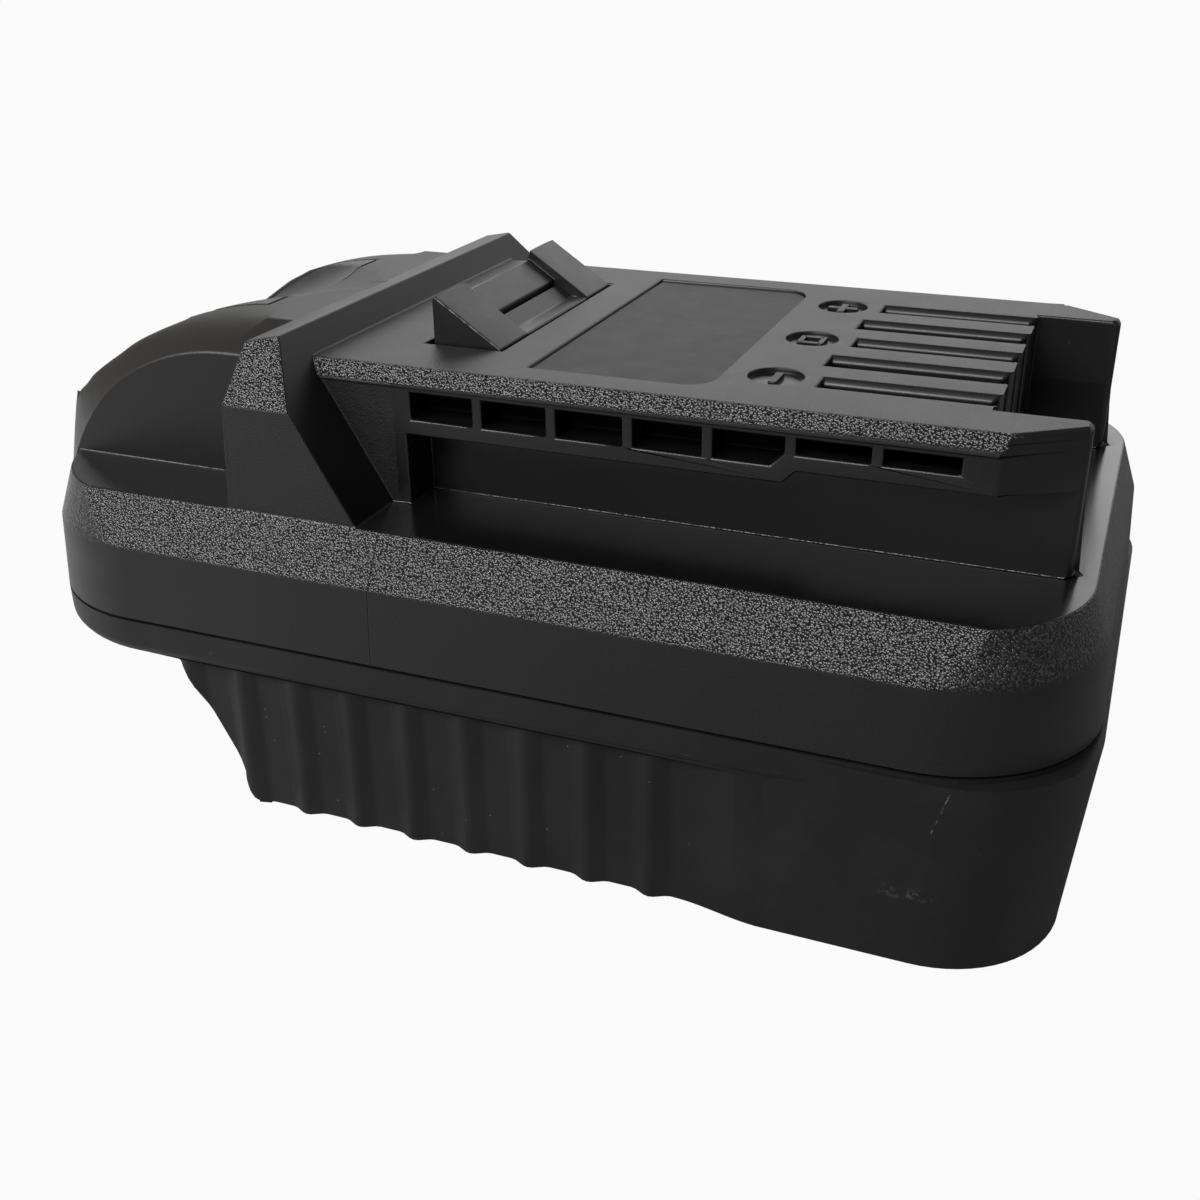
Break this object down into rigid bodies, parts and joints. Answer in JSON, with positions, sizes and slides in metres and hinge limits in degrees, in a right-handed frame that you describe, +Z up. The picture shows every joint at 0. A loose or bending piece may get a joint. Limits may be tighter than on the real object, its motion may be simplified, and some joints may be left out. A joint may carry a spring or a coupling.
{
  "type": "tool battery adapter",
  "caption": "Black slide-on battery adapter for power tools, with a slotted contact rail, sprung latch hooks and thumb button on top and a ribbed battery bay below.",
  "frame": {"origin": "bottom centre of the adapter's bounding box, on the surface that the skirts stand on", "axes": "+X along the rail towards the contact end, +Z up to the latch hooks"},
  "size_m": [0.1228, 0.0744, 0.0556],
  "materials": {
    "upper_black": "grained and satin black moulding",
    "lower_black": "fine grained black moulding",
    "latch_black": "satin black moulding",
    "label_grey": "bare printed film, matt",
    "holder_black": "matt black moulding",
    "block_black": "matt black moulding",
    "contact_metal": "bright sheet",
    "blade_metal": "tinned sheet",
    "socket_yellow": "matt moulding",
    "board_green": "solder mask",
    "chip_black": "matt package",
    "wire_black": "soft sleeve",
    "wire_red": "soft sleeve",
    "wire_white": "soft sleeve",
    "wire_yellow": "soft sleeve",
    "screw_steel": "plated",
    "spring_steel": "drawn wire"
  },
  "bodies": {
    "housing": {"upper_shell": "upper_black", "lower_shell": "lower_black", "label_plate": "label_grey", "latch_spring_left": "spring_steel", "latch_spring_right": "spring_steel", "contact_holder": "holder_black", "negative_contact": "contact_metal", "signal_contact": "contact_metal", "positive_contact": "contact_metal", "terminal_block": "block_black", "negative_blade": "blade_metal", "positive_blade": "blade_metal", "signal_socket": "socket_yellow", "signal_pins": "blade_metal", "signal_board": "board_green", "control_chip": "chip_black", "id_resistors": "chip_black", "negative_wire": "wire_black", "positive_wire": "wire_red", "sense_wire": "wire_white", "data_wire": "wire_yellow", "case_screws": "screw_steel", "terminal_screws": "screw_steel", "board_screws": "screw_steel"},
    "latch": {"release_latch": "latch_black"}
  },
  "joints": [
    {"name": "latch_press", "type": "slide", "parent": "housing", "child": "latch", "axis": [0, 0, -1], "range_m": [0, 0.0054], "stiffness_N_per_m": 1200, "springref_m": -0.004, "deforming": ["latch_spring_left", "latch_spring_right"]}
  ]
}
